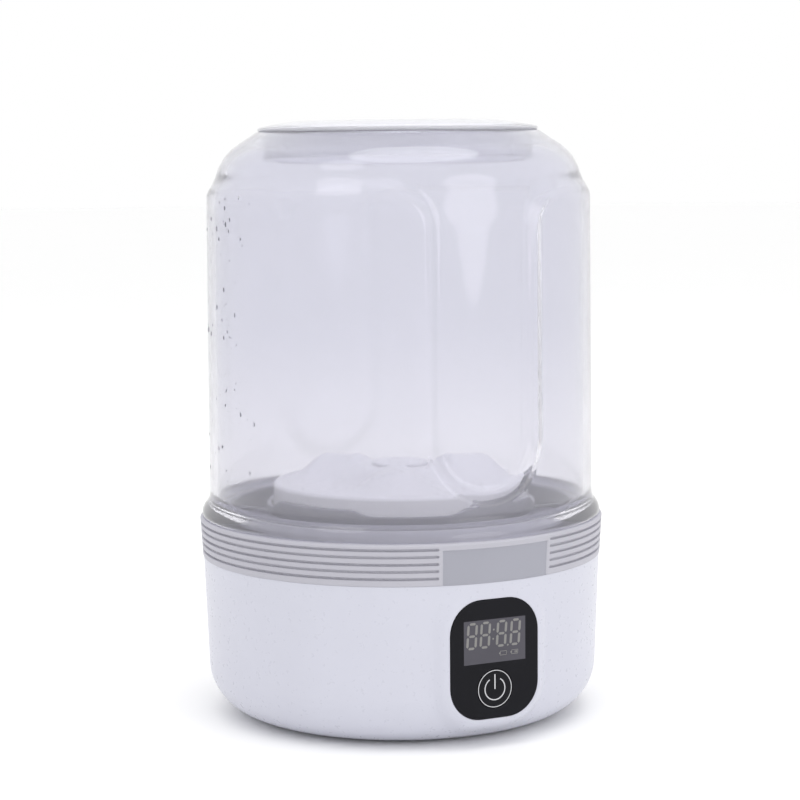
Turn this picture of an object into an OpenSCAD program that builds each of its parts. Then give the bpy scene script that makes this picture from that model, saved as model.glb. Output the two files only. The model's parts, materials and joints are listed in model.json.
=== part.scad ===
// Small countertop ultrasonic cleaner with a clear fluted vessel.
// Millimetres, +Z up, origin at the centre of the footprint on the worktop.
// The control panel faces -Y.

/* [Base] */
// Outer radius of the grip collar, the widest part of the object
collar_r = 60; // [56:0.5:66]
// Height of the flat underside above the worktop
underside_z = 0.5; // [0.4:0.1:1.4]
// Radius of the rounding under the base
base_fillet_r = 15; // [12:0.5:16]
// Wall of the moulded base shell
shell_wall = 2.5; // [2:0.1:3]
// Height at which the base shell meets the grip collar
collar_z = 47.3; // [46:0.1:48]
// Height of the grip collar's upper face
collar_top_z = 59.2; // [59:0.1:59.4]
// Number of grip grooves round the collar
groove_count = 5; // [3:1:5]
// Angle of the plain section of the collar above the panel
plain_angle = 34.7; // [20:0.1:50]

/* [Panel] */
// Width of the black control panel
panel_w = 27.6; // [26:0.2:30]
// Height of the black control panel
panel_h = 33.8; // [32:0.2:35]
// Height of the panel's centre
panel_z = 25.6; // [25:0.1:26]
// Distance of the panel's face from the axis
panel_y = 58.6; // [58.2:0.1:59]
// Height of the power button's centre
button_z = 17.1; // [16.6:0.1:17.4]
// Radius of the power button
button_r = 5.4; // [4.8:0.1:5.6]
// Travel of the power button
button_travel = 0.5; // [0.3:0.05:0.5]

/* [Vessel] */
// Outer radius of the clear vessel
vessel_r = 57; // [56.8:0.1:57.4]
// Wall of the clear vessel
vessel_wall = 2.5; // [2:0.1:2.6]
// Depth of the two flutes
flute_depth = 2.4; // [1.5:0.1:3]
// Width of a flute
flute_w = 37; // [20:1:40]
// Height of the lowest point of a flute
flute_z = 69; // [68:0.5:80]
// Radius of the mouth under the lid
mouth_r = 40.2; // [39:0.1:40.2]
// Height at which the shoulder starts to curve in
shoulder_z = 156; // [150:0.5:156]

/* [Lid] */
// Outer radius of the lid's flange
lid_r = 41.3; // [40.8:0.1:41.5]
// Height of the lid's flat top
lid_top_z = 175.3; // [174.5:0.1:176]
// Height of the plug skirt's lower edge
lid_skirt_z = 165; // [160:0.5:167]

/* [Wet parts] */
// Outer radius of the basin's spigot
spigot_r = 53.9; // [53.5:0.1:53.9]
// Height of the spigot's upper edge
spigot_z = 62.5; // [62:0.1:63.5]
// Height of the basin's floor
floor_z = 52; // [51.5:0.1:52]
// Radius of the agitator disc
disc_r = 38; // [34:0.5:38]
// Height of the agitator's rim
disc_z = 69; // [68:0.5:70]
// Number of lobes on the agitator
lobe_count = 3; // [2:1:5]

/* [Hidden] */
$fn = 96;
gap = 0.1;
neat = 0.02;

// Base: the shell tapers down from the collar to a rounded underside.
shell_top_r = collar_r - 0.9;
shell_low_r = collar_r - 2.1;
fillet_z = underside_z + base_fillet_r;
fillet_x = shell_low_r - base_fillet_r;
cover_r = 40.2;
ledge_r = 33;
ledge_z = 3.5;
ledge_t = 2;
screw_ring_r = 36.5;
foot_ring_r = 33;
foot_r = 5;
foot_t = 1.6;

// Panel pad: a flat pad on the shell that carries the panel.
pad_w = 32.6;
pad_h = 38.4;
pad_corner_r = 12;
panel_corner_r = 9;
panel_t = 1.6;
window_w = 21;
window_h = 12.8;
window_z = 30.75;
board_y = 50.4;

// Collar and bayonet: lugs pass the notches, then turn under the ledge.
groove_pitch = 2.03;
groove_w = 0.8;
groove_depth = 0.7;
plain_turn = 1.2;
plain_lip = 2;
channel_r = 57.5;
ledge_in_r = 56.3;
ledge_low_z = 56.2;
skirt_r = 56;
skirt_in_r = 54.3;
skirt_z = 53.5;
lug_r = 57.1;
lug_z = 54;
lug_t = 1.6;
lug_angle = 10;
notch_angle = 15;
notch_r = 57.4;
web_in_r = 52.9;
basin_screw_r = 55;

// Basin
basin_floor_t = 2.5;
flange_r = 57.3;
flange_z = 50.8;
flange_top_z = 53;
seal_groove_z = 59.3;
seal_h = 2;
seal_groove_r = 52.7;
guard_in_r = 38.6;
guard_r = 40;
guard_z = 65.4;
notch_depth = 2.6;
guard_notch_angle = 40;
piezo_ring_r = 20;
piezo_r = 8;

// Drive
shaft_r = 1.5;
shaft_bore_r = 1.56;
hub_r = 8;
motor_r = 12;
motor_z = 21;
bracket_z = 42;
bracket_t = 1.5;
hex_r = 5;
hex_gap = 0.35;

// Electronics
pcb_z = 9;
pcb_t = 1.6;
pcb_top_z = pcb_z + pcb_t;
cell_r = 9.2;
cell_l = 65;
cell_y = 27;
cell_z = 24;
port_z = 22;

// Charging flap at the back
flap_w = 14;
flap_low_z = 16.6;
flap_top_z = 27;
flap_y = 56;
flap_t = 1.4;
flap_axis_y = 56.8;
flap_axis_z = 17.4;

// Vessel
core_r = vessel_r - flute_depth;
shoulder_x = 39.2;
shoulder_r = 14.8;
shoulder_angle = 57;
rim_r = 41.6;
draft = 0.5;

// Colours
white = [0.90, 0.90, 0.92];
grey = [0.66, 0.66, 0.68];
mid_grey = [0.45, 0.45, 0.48];
black = [0.10, 0.10, 0.12];
clear = [0.86, 0.85, 0.92, 0.35];
steel = [0.75, 0.76, 0.78];
green = [0.10, 0.38, 0.22];
brass = [0.78, 0.62, 0.30];

// ---- helpers ----

// Points on an arc in the profile plane, from angle a to angle b.
function arc(cx, cy, r, a, b, steps) =
    [for (i = [0:steps]) let (t = a + (b - a) * i / steps)
        [cx + r * cos(t), cy + r * sin(t)]];

// Rounded rectangle centred on the origin.
module rounded_rect(w, h, r) {
    square([w - 2 * r, h], center = true);
    square([w, h - 2 * r], center = true);
    for (x = [-1, 1], y = [-1, 1])
        translate([x * (w / 2 - r), y * (h / 2 - r)]) circle(r);
}

// Upright plate whose front is at y = -front and whose depth runs inwards.
module upright(front, depth, z) {
    translate([0, -front + depth, z])
        rotate([90, 0, 0])
            linear_extrude(depth) children();
}

// Ring between two radii.
module ring(r_out, r_in, z, h) {
    translate([0, 0, z])
        difference() {
            cylinder(r = r_out, h = h);
            translate([0, 0, -1]) cylinder(r = r_in, h = h + 2);
        }
}

// Part of a ring, centred on the angle at.
module ring_sector(r_out, r_in, z, h, angle, at) {
    translate([0, 0, z])
        rotate([0, 0, at - angle / 2])
            rotate_extrude(angle = angle)
                translate([r_in, 0]) square([r_out - r_in, h]);
}

// Copies children round the axis.
module around(count, radius, start = 0) {
    for (i = [0:count - 1])
        rotate([0, 0, start + i * 360 / count])
            translate([radius, 0, 0]) children();
}

// Smooth point between b and c of four route points.
function smooth(a, b, c, d, t) =
    b + (c - a) * t / 2
    + (2 * a - 5 * b + 4 * c - d) * t * t / 2
    + (3 * b - a - 3 * c + d) * t * t * t / 2;

// Route through the points with a few smooth steps between each pair.
function route(p, steps) =
    let (n = len(p))
    concat([for (i = [0:n - 2], s = [0:steps - 1])
        smooth(p[max(i - 1, 0)], p[i], p[i + 1], p[min(i + 2, n - 1)],
            s / steps)], [p[n - 1]]);

function unit(v) = v / norm(v);

// Swept wire of radius r through the route points, eight-sided.
module wire(points, r) {
    sides = 8;
    path = route(points, 4);
    last = len(path) - 1;
    verts = [for (i = [0:last])
        let (
            t = unit(path[min(i + 1, last)] - path[max(i - 1, 0)]),
            u = unit(cross(t, [0.31, 0.95, 0.1])),
            v = cross(t, u)
        )
        for (k = [0:sides - 1])
            path[i] + r * (u * cos(360 * k / sides) + v * sin(360 * k / sides))];
    faces = concat(
        [[for (k = [0:sides - 1]) k]],
        [for (i = [0:last - 1], k = [0:sides - 1])
            [i * sides + k, (i + 1) * sides + k,
             (i + 1) * sides + (k + 1) % sides, i * sides + (k + 1) % sides]],
        [[for (k = [sides - 1:-1:0]) last * sides + k]]);
    polyhedron(verts, faces, 4);
}

// Pan-head screw standing on its head, threads up.
module screw(head_r, head_h, shank_r, length) {
    cylinder(r = head_r, h = head_h);
    cylinder(r = shank_r, h = head_h + length);
}

// ---- base ----

module shell_outline() {
    polygon(concat(
        [[cover_r + gap, underside_z]],
        arc(fillet_x, fillet_z, base_fillet_r, -90, 0, 14),
        [[shell_top_r, collar_z], [0, collar_z], [0, underside_z]]
    ));
}

module shell_cavity() {
    rotate_extrude()
        polygon(concat(
            [[0, ledge_z + ledge_t]],
            arc(fillet_x, fillet_z, base_fillet_r - shell_wall, -57, 0, 9),
            [[shell_top_r - shell_wall, collar_z + 1], [0, collar_z + 1]]
        ));
}

module shell_posts() {
    difference() {
        around(4, screw_ring_r, 45)
            translate([0, 0, ledge_z]) cylinder(r = 3.4, h = 8.5);
        around(4, screw_ring_r, 45)
            translate([0, 0, ledge_z - 1]) cylinder(r = 1.25, h = 8);
    }
    for (x = [-1, 1]) {
        translate([x * 20, 34, ledge_z + 1]) cylinder(r = 2.4, h = 8);
        translate([x * 6, 45.5, ledge_z + 1]) cylinder(r = 1.8, h = 14.3);
    }
    for (x = [-10.5, 10.5], z = [12, 40.5])
        translate([x, -board_y, z])
            rotate([90, 0, 0]) difference() {
                cylinder(r = 1.9, h = 5.4);
                translate([0, 0, -1]) cylinder(r = 0.95, h = 4.4);
            }
}

module base_shell() {
    color(white) {
        difference() {
            union() {
                rotate_extrude() shell_outline();
                upright(panel_y, 10, panel_z - 0.4)
                    rounded_rect(pad_w, pad_h, pad_corner_r);
            }
            difference() {
                shell_cavity();
                translate([-10, 52.4, 14.5]) cube([20, 6, 14]);
            }
            // opening for the bottom cover, and the way through the ledge
            translate([0, 0, -1]) cylinder(r = cover_r + gap, h = ledge_z + 1);
            cylinder(r = ledge_r, h = ledge_z + ledge_t + 1);
            around(4, screw_ring_r, 45) cylinder(r = 1.25, h = 10);
            // pocket for the panel, window for the display, hole for the button
            upright(panel_y + 4, 4 + panel_t, panel_z)
                rounded_rect(panel_w + 0.2, panel_h + 0.2, panel_corner_r + gap);
            upright(panel_y, 8, window_z) square([window_w + 0.4, window_h + 0.4], center = true);
            upright(panel_y, 8, button_z) circle(button_r + 0.9);
            // pocket, plug opening and pin holes of the charging flap
            translate([-flap_w / 2 - 0.4, flap_y - gap, flap_low_z - 0.4])
                cube([flap_w + 0.8, 4, flap_top_z - flap_low_z + 0.8]);
            translate([-4.9, 50, port_z - 1.9]) cube([9.8, 10, 3.8]);
            translate([-8.6, flap_axis_y, flap_axis_z])
                rotate([0, 90, 0]) cylinder(r = 0.42, h = 17.2);
        }
        shell_posts();
    }
}

module bottom_cover() {
    color(white)
        difference() {
            union() {
                translate([0, 0, underside_z]) cylinder(r = cover_r, h = ledge_z - underside_z - neat);
                for (x = [-17, 17], y = [-21, 8])
                    translate([x, y, 3]) cylinder(r = 2.5, h = pcb_z - 3);
            }
            around(4, screw_ring_r, 45) cylinder(r = 1.5, h = 5);
            around(4, screw_ring_r, 45) cylinder(r = 3, h = underside_z + 1.4);
            around(4, foot_ring_r) cylinder(r = foot_r + gap, h = foot_t);
            for (x = [-17, 17], y = [-21, 8])
                translate([x, y, 3.5]) cylinder(r = 0.95, h = 8);
        }
}

// One rubber foot, numbered round from +X.
module foot(index) {
    color(mid_grey)
        rotate([0, 0, 90 * (index - 1)])
            translate([foot_ring_r, 0, 0])
                rotate_extrude()
                    polygon([[0, 0], [foot_r - 0.5, 0], [foot_r, 0.5], [foot_r, foot_t], [0, foot_t]]);
}

module cover_screws() {
    color(steel)
        around(4, screw_ring_r, 45)
            translate([0, 0, underside_z + 0.1]) screw(2.75, 1.3, 1.2, 7);
}

// ---- collar ----

module grip_collar() {
    groove_top = collar_top_z - 1.65;
    plain_low_z = collar_z - 1;
    color(grey)
        difference() {
            rotate_extrude()
                polygon(concat(
                    [[collar_r - 0.7, collar_z + neat]],
                    arc(collar_r - 1.2, collar_top_z - 1.2, 1.2, 0, 90, 5),
                    [[ledge_in_r, collar_top_z], [ledge_in_r, ledge_low_z],
                     [channel_r, ledge_low_z], [channel_r, flange_z - neat],
                     [web_in_r, flange_z - neat], [web_in_r, collar_z + neat]]
                ));
            for (i = [0:groove_count - 1])
                ring_sector(collar_r + 1, collar_r - 0.25 - groove_depth - 0.07 * i,
                    groove_top - i * groove_pitch - groove_w / 2, groove_w,
                    360 - plain_angle, 90 + plain_turn);
            ring_sector(collar_r + 1, collar_r - 0.7, plain_low_z,
                collar_top_z - plain_lip - plain_low_z, plain_angle - 2, plain_turn - 90);
            for (a = [45:90:315])
                ring_sector(notch_r, ledge_in_r - 1, ledge_low_z - 1, 5, notch_angle, a);
            around(4, basin_screw_r) translate([0, 0, collar_z - 1]) cylinder(r = 0.95, h = 5);
        }
    // tabs that centre the collar in the shell
    color(grey)
        for (a = [45:90:315])
            ring_sector(shell_top_r - shell_wall - 0.15, 55, collar_z - 2, 2.5, 40, a);
}

// ---- basin and what is fixed to it ----

module basin() {
    low_z = floor_z - basin_floor_t;
    color(grey)
        difference() {
            union() {
                rotate_extrude()
                    polygon([
                        [0, low_z], [web_in_r - 0.3, low_z], [web_in_r - 0.3, flange_z],
                        [flange_r, flange_z],
                        [flange_r, flange_top_z], [spigot_r, flange_top_z],
                        [spigot_r, spigot_z - 0.6], [spigot_r - 0.6, spigot_z],
                        [spigot_r - 2, spigot_z], [spigot_r - 2.4, spigot_z - 0.6],
                        [spigot_r - 2.4, 56.2], [50.2, 55], [49.4, floor_z], [0, floor_z]
                    ]);
                translate([0, 0, 44]) cylinder(r = hub_r, h = 13);
                for (x = [-21, 21])
                    translate([x, 0, bracket_z + bracket_t]) cylinder(r = 3.2, h = 7);
            }
            // groove for the vessel gasket
            ring(spigot_r + 1, seal_groove_r, seal_groove_z, seal_h);
            // seats of the bush and of the shaft seal
            translate([0, 0, 43]) cylinder(r = 4, h = 20);
            translate([0, 0, 54]) cylinder(r = 6, h = 5);
            // openings under the resonator plate, and its gasket grooves
            for (y = [-piezo_ring_r, piezo_ring_r])
                translate([0, y, 48]) cylinder(r = piezo_r + 1, h = 6);
            ring(36.5, 33.5, floor_z - 0.6, 2);
            ring(10.4, 8.6, floor_z - 0.6, 2);
            for (x = [-21, 21])
                translate([x, 0, 43]) cylinder(r = 0.95, h = 6);
            around(4, basin_screw_r) translate([0, 0, flange_z - 1]) cylinder(r = 0.95, h = 2.6);
        }
}

module basin_screws() {
    color(steel)
        around(4, basin_screw_r)
            translate([0, 0, collar_z - 0.6]) screw(1.3, 0.6, 0.85, 4.6);
}

module guard_ring() {
    color(grey)
        difference() {
            union() {
                ring(guard_r, guard_in_r, floor_z, guard_z - floor_z);
                ring(guard_r + 1.4, guard_in_r, floor_z, 1.2);
            }
            for (a = [-112:90:158])
                ring_sector(guard_r + 1, guard_in_r - 1, guard_z - notch_depth, 4,
                    guard_notch_angle, a);
        }
}

module resonator_plate() {
    color(steel)
        ring(37.5, 8.3, floor_z, 0.8);
}

module plate_gaskets() {
    color(black) {
        ring(36.4, 33.6, floor_z - 0.58, 0.56);
        ring(10.3, 8.7, floor_z - 0.58, 0.56);
    }
}

// One piezo disc bonded under the resonator plate.
module piezo(y) {
    color([0.85, 0.84, 0.80])
        translate([0, y, floor_z - 2.6]) cylinder(r = piezo_r, h = 2.5);
    color(brass)
        translate([0, y, floor_z - neat - 0.1]) cylinder(r = piezo_r + 0.6, h = 0.1);
}

// ---- drive ----

module shaft_seal() {
    color(black)
        translate([0, 0, 54 + neat])
            difference() {
                cylinder(r = 6 - neat, h = 2.9);
                translate([0, 0, -1]) cylinder(r = shaft_bore_r, h = 6);
                translate([0, 0, 1.5]) cylinder(r = 3.6, h = 3);
            }
}

module shaft_bush() {
    color(brass) ring(4 - neat, shaft_bore_r, 44, 10);
}

module motor_can() {
    color(steel)
        difference() {
            union() {
                translate([0, 0, motor_z]) cylinder(r = motor_r, h = bracket_z - motor_z);
                translate([0, 0, bracket_z - 1]) cylinder(r = 3.4, h = 2.3);
            }
            translate([0, 0, motor_z - 1]) cylinder(r = shaft_bore_r, h = 30);
            for (x = [-8, 8])
                translate([x, 0, bracket_z - 4]) cylinder(r = 0.95, h = 6);
        }
}

module motor_end_cap() {
    color(black)
        difference() {
            union() {
                translate([0, 0, motor_z - 3]) cylinder(r = 11, h = 3 - neat);
                translate([0, 0, motor_z - 4]) cylinder(r = 4, h = 2);
            }
            translate([0, 0, motor_z - 3]) cylinder(r = shaft_bore_r, h = 6);
        }
}

module motor_bracket() {
    color(steel)
        difference() {
            translate([0, 0, bracket_z + neat])
                linear_extrude(bracket_t - 2 * neat) rounded_rect(52, 13, 6);
            translate([0, 0, bracket_z - 1]) cylinder(r = 3.6, h = 5);
            for (x = [-21, -8, 8, 21])
                translate([x, 0, bracket_z - 1]) cylinder(r = 1.15, h = 5);
        }
}

// Two screws hold the bracket to the basin, two hold the motor to the bracket.
module bracket_screws() {
    color(steel) {
        for (x = [-21, 21])
            translate([x, 0, bracket_z - 1.3]) screw(2, 1.3, 0.9, 6);
        for (x = [-8, 8])
            translate([x, 0, bracket_z + bracket_t])
                mirror([0, 0, 1]) translate([0, 0, -0.4]) screw(1.6, 0.4, 0.9, 5);
    }
}

module drive_shaft() {
    color(steel)
        translate([0, 0, motor_z - 2.6]) cylinder(r = shaft_r, h = 43.6);
}

module drive_coupling() {
    color(white)
        difference() {
            translate([0, 0, 57.8]) cylinder(r = hex_r, h = 10.2, $fn = 6);
            translate([0, 0, 57]) cylinder(r = shaft_r, h = 5);
        }
}

// ---- agitator ----

module agitator_disc() {
    dish_z = disc_z - 1.8;
    color(white)
        difference() {
            union() {
                rotate_extrude()
                    polygon(concat(
                        [[0, 60], [9, 60], [9, 64.6], [disc_r - 2.2, 64.6],
                         [disc_r - 2.2, 62], [disc_r, 62]],
                        arc(disc_r - 1.2, disc_z - 1.2, 1.2, 0, 90, 4),
                        [[disc_r - 4, disc_z - 0.3], [14, dish_z], [11.5, dish_z + 1.5],
                         [9.6, 72.8], [9, 73.4], [0, 73.4]]
                    ));
                // lobes: tapered ridges from the hub out to the rim
                around(lobe_count, 9.6) {
                    translate([0, 0, 70.4])
                        rotate([0, 92, 0]) cylinder(r1 = 5.4, r2 = 5.2, h = 19.4);
                    translate([19.4, 0, 69.7]) sphere(5.2);
                }
            }
            // hexagonal drive socket and the hole of the hub cap
            translate([0, 0, 59]) cylinder(r = hex_r + hex_gap, h = 9.6, $fn = 6);
            translate([0, 0, 71]) cylinder(r = 3, h = 6);
            ring(disc_r - 2.2, 9, 55, 9.6);
        }
}

module agitator_cap() {
    color(white) {
        translate([0, 0, 71.4]) cylinder(r = 3 - neat, h = 2.4);
        translate([0, 0, 73.4 + neat])
            rotate_extrude()
                polygon([[0, 0], [8.6, 0], [8.6, 0.5], [7.6, 1.1], [5, 1.5], [0, 1.6]]);
    }
}

// ---- vessel ----

// Two U-shaped slots outside the radius r, open at the top.
module flutes(r, half_w) {
    centre_z = flute_z + flute_w / 2;
    intersection() {
        ring(vessel_r + 4, r, 50, 130);
        for (a = [0, 180])
            rotate([0, 0, a])
                upright(vessel_r + 5, 30, centre_z) {
                    circle(half_w);
                    translate([-half_w, 0]) square([2 * half_w, 90]);
                }
    }
}

module vessel_outside() {
    end = [shoulder_x + shoulder_r * cos(shoulder_angle),
           shoulder_z + shoulder_r * sin(shoulder_angle)];
    rise = tan(90 - shoulder_angle);
    rim_z = end[1] + (end[0] - rim_r) * rise;
    rotate_extrude()
        polygon(concat(
            [[0, skirt_z], [skirt_r, skirt_z], [skirt_r, collar_top_z + gap],
             [collar_r - 1.1, collar_top_z + gap], [collar_r - 0.65, collar_top_z + 0.7],
             [collar_r - 0.8, 61], [58.6, 62.3], [57.9, 63.5], [57.3, 64.7], [vessel_r, 65.8],
             [vessel_r - draft, 150], [vessel_r - draft - 0.5, 153],
             [vessel_r - draft - 1.4, 155.4], [shoulder_x + shoulder_r + 0.1, 157.4]],
            arc(shoulder_x, shoulder_z, shoulder_r, 10, shoulder_angle, 8),
            [[rim_r, rim_z], [0, rim_z]]
        ));
}

module vessel_inside() {
    r = shoulder_r - vessel_wall;
    end = [shoulder_x + r * cos(shoulder_angle),
           shoulder_z + r * sin(shoulder_angle)];
    rise = tan(90 - shoulder_angle);
    rotate_extrude()
        polygon(concat(
            [[0, skirt_z - 1], [skirt_in_r, skirt_z - 1], [skirt_in_r, 66],
             [vessel_r - vessel_wall, 68], [vessel_r - vessel_wall - draft, 148],
             [shoulder_x + r + 0.8, 155]],
            arc(shoulder_x, shoulder_z, r, 0, shoulder_angle, 8),
            [[mouth_r, end[1] + (end[0] - mouth_r) * rise], [mouth_r, 180], [0, 180]]
        ));
}

module vessel() {
    color(clear)
        difference() {
            union() {
                difference() {
                    vessel_outside();
                    flutes(core_r, flute_w / 2);
                }
                for (a = [45:90:315])
                    ring_sector(lug_r, skirt_r - 0.5, lug_z, lug_t, lug_angle, a);
            }
            difference() {
                vessel_inside();
                flutes(core_r - vessel_wall, flute_w / 2 + vessel_wall);
            }
        }
}

module vessel_gasket() {
    color(black)
        ring(spigot_r + 0.2, seal_groove_r + 0.05, seal_groove_z + 0.05, seal_h - 0.1);
}

module vessel_lid() {
    flange_low_z = 172.2;
    color(clear)
        rotate_extrude()
            polygon([
                [0, lid_top_z - 2], [28.5, lid_top_z - 2], [37.4, 171.8], [37.4, lid_skirt_z],
                [mouth_r - 0.6, lid_skirt_z], [mouth_r - 0.3, lid_skirt_z + 0.5],
                [mouth_r - 0.3, 170.1], [38.9, 170.1], [38.9, 171.7], [mouth_r - 0.3, 171.7],
                [mouth_r - 0.3, flange_low_z], [lid_r - 0.3, flange_low_z],
                [lid_r, flange_low_z + 0.4], [lid_r, 172.9], [lid_r - 0.6, 173.4],
                [29, lid_top_z], [0, lid_top_z]
            ]);
}

module lid_seal() {
    color(clear) ring(mouth_r - 0.12, 38.95, 170.15, 1.5);
}

// ---- electronics ----

module battery_cell() {
    color([0.25, 0.45, 0.70])
        translate([-cell_l / 2, cell_y, cell_z])
            rotate([0, 90, 0]) cylinder(r = cell_r, h = cell_l);
    color(steel)
        translate([cell_l / 2 - 0.5, cell_y, cell_z])
            rotate([0, 90, 0]) cylinder(r = 3, h = 1.2);
}

module battery_holder() {
    color(black) {
        translate([0, cell_y, 12.6])
            linear_extrude(2) rounded_rect(71, 19, 5);
        difference() {
            for (x = [-35.3, 33.5])
                translate([x, cell_y - 7.5, 14.5]) cube([1.8, 15, 15]);
            translate([30, cell_y, cell_z])
                rotate([0, 90, 0]) cylinder(r = 3.3, h = 8);
        }
    }
}

module main_board() {
    color(green)
        difference() {
            translate([0, -6.5, pcb_z]) linear_extrude(pcb_t) rounded_rect(41, 35, 2);
            for (x = [-17, 17], y = [-21, 8])
                translate([x, y, pcb_z - 1]) cylinder(r = 1.2, h = 4);
        }
}

module board_screws() {
    color(steel)
        for (x = [-17, 17], y = [-21, 8])
            translate([x, y, pcb_top_z + 1.2])
                mirror([0, 0, 1]) screw(2, 1.2, 0.9, 6);
}

module controller_chip() {
    color(black) {
        translate([-7, -11, pcb_top_z + 0.2]) linear_extrude(1) rounded_rect(9, 9, 0.4);
    }
    color(steel)
        for (a = [0:90:270], i = [-3:3])
            translate([-7, -11, pcb_top_z])
                rotate([0, 0, a]) translate([4.4, i * 1.1 - 0.2, 0]) cube([1.2, 0.4, 0.5]);
}

module driver_transformer() {
    color(black)
        translate([13, -13, pcb_top_z]) linear_extrude(2) rounded_rect(13, 11, 1);
    color([0.80, 0.72, 0.30])
        translate([13, -13, pcb_top_z + 1.9]) linear_extrude(6) rounded_rect(9, 10.4, 2);
    color(mid_grey)
        translate([13, -13, pcb_top_z + 1.9]) difference() {
            linear_extrude(7) rounded_rect(13, 5, 0.5);
            translate([-4.6, -4, -1]) cube([9.2, 8, 7]);
        }
}

module driver_capacitors() {
    color([0.16, 0.17, 0.30])
        for (p = [[-6, -20.5], [4, -20.5]])
            translate([p[0], p[1], pcb_top_z]) cylinder(r = 3, h = 10);
}

module driver_transistor() {
    color(mid_grey)
        translate([-20, -10, pcb_top_z]) cube([1.6, 12, 12]);
    color(black)
        translate([-18.42, -8, pcb_top_z + 2]) cube([3, 8, 8]);
}

module board_connectors() {
    color(white)
        for (p = [[-12, 3], [13, 3], [-16.5, -15]])
            translate([p[0] - 3.5, p[1] - 2, pcb_top_z]) cube([7, 4, 4.5]);
}

module display_board() {
    color(green)
        difference() {
            upright(board_y, 1.2, 26) rounded_rect(26, 34, 1.5);
            for (x = [-10.5, 10.5], z = [12, 40.5])
                upright(board_y + 1, 4, z) translate([x, 0]) circle(1.1);
        }
}

module display_screws() {
    color(steel)
        for (x = [-10.5, 10.5], z = [12, 40.5])
            translate([x, -board_y + 2.3, z]) rotate([90, 0, 0]) screw(1.8, 1.08, 0.9, 4);
}

// Four-digit display block behind the panel.
module display_module() {
    color(mid_grey)
        upright(panel_y - panel_t - gap, panel_y - panel_t - gap - board_y, window_z)
            square([window_w, window_h], center = true);
}

module display_panel() {
    color(black)
        difference() {
            upright(panel_y, panel_t, panel_z) rounded_rect(panel_w, panel_h, panel_corner_r);
            upright(panel_y + 1, 4, button_z) circle(button_r + 0.15);
        }
}

module power_button() {
    color(black) {
        upright(panel_y, panel_t, button_z) circle(button_r);
        upright(panel_y - panel_t + neat, 1.2, button_z) circle(button_r - 0.6);
        upright(panel_y - panel_t - gap, 1, button_z) circle(button_r + 0.55);
        upright(panel_y - panel_t - 1, 1.7, button_z) circle(1.6);
    }
}

module power_switch() {
    top_y = panel_y - panel_t - 2.7 - button_travel - gap;
    color(steel)
        upright(board_y + 2.4, 2.4, button_z) square(6, center = true);
    color(black)
        upright(top_y, top_y - board_y - 2.3, button_z) circle(1.7);
}

module charging_port() {
    color(steel)
        difference() {
            translate([0, 54.4, port_z]) rotate([90, 0, 0])
                linear_extrude(8) rounded_rect(9, 3.3, 1.6);
            translate([0, 55, port_z]) rotate([90, 0, 0])
                linear_extrude(7) rounded_rect(8.3, 2.6, 1.25);
        }
    color(black)
        translate([-3.4, 47.5, port_z - 0.35]) cube([6.8, 5.8, 0.7]);
}

module port_board() {
    color(green)
        translate([-8, 40, 18.9]) cube([16, 12.2, 1.4]);
}

module port_hinge_pin() {
    color(steel)
        translate([-8.5, flap_axis_y, flap_axis_z])
            rotate([0, 90, 0]) cylinder(r = 0.4, h = 17);
}

module port_flap() {
    color(grey)
        difference() {
            union() {
                translate([-flap_w / 2, flap_y, flap_axis_z])
                    cube([flap_w, flap_t, flap_top_z - flap_axis_z]);
                translate([-flap_w / 2, flap_axis_y, flap_axis_z])
                    rotate([0, 90, 0]) cylinder(r = 0.8, h = flap_w);
                translate([0, flap_y + 0.2, port_z]) rotate([90, 0, 0])
                    linear_extrude(1.4) rounded_rect(7.6, 2.2, 1);
                translate([-3, flap_y + flap_t - 0.2, flap_top_z - 1.4]) cube([6, 0.5, 1]);
            }
            translate([-10, flap_axis_y, flap_axis_z])
                rotate([0, 90, 0]) cylinder(r = 0.46, h = 20);
        }
}

// ---- wiring, all of it held inside the base ----

module battery_lead() {
    color([0.75, 0.12, 0.12])
        wire([[34.4, 18.6, 22], [34, 15, 21], [28, 11, 19], [20, 7, 18],
              [14.6, 3.3, 17], [14.5, 3, 15.9], [14.5, 3, 15.15]], 0.7);
    color(black)
        wire([[-34.4, 18.6, 22], [-34, 14, 24], [-22, 14, 22], [0, 15, 20],
              [11, 12, 19], [12, 5, 17.5], [11.8, 3, 16], [11.8, 3, 15.15]], 0.7);
}

module motor_lead() {
    color([0.75, 0.12, 0.12])
        wire([[-9, -6.8, 19], [-11.5, -8.5, 18.6], [-14, -6, 17.6],
              [-14, -1, 17], [-12.6, 2.8, 16.2], [-12.5, 3, 15.15]], 0.6);
}

module piezo_leads() {
    color([0.85, 0.85, 0.85]) {
        wire([[0, -22, 48.9], [-2, -25, 46], [-12, -28, 36], [-17, -22, 24],
              [-17.5, -16, 18], [-17.5, -15, 16], [-17.5, -15, 15.15]], 0.6);
        wire([[0, 21, 48.9], [-8, 21, 46.5], [-23, 12, 42], [-27, -4, 32],
              [-23, -14, 22], [-15.8, -15.5, 18], [-15.5, -15, 16], [-15.5, -15, 15.15]], 0.6);
    }
}

// Flat ribbon from the main board to the display board.
module display_ribbon() {
    line = arc(-36, 24, 12.4, -90, -180, 8);
    inner = arc(-36, 24, 12, -180, -90, 8);
    color([0.85, 0.80, 0.60])
        translate([-5, 0, 0])
            rotate([90, 0, 90])
                linear_extrude(10)
                    polygon(concat([[-23.9, 11.6]], line, [[-48.4, 30]],
                        [[-48, 30]], inner, [[-23.9, 12]]));
}

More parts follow.
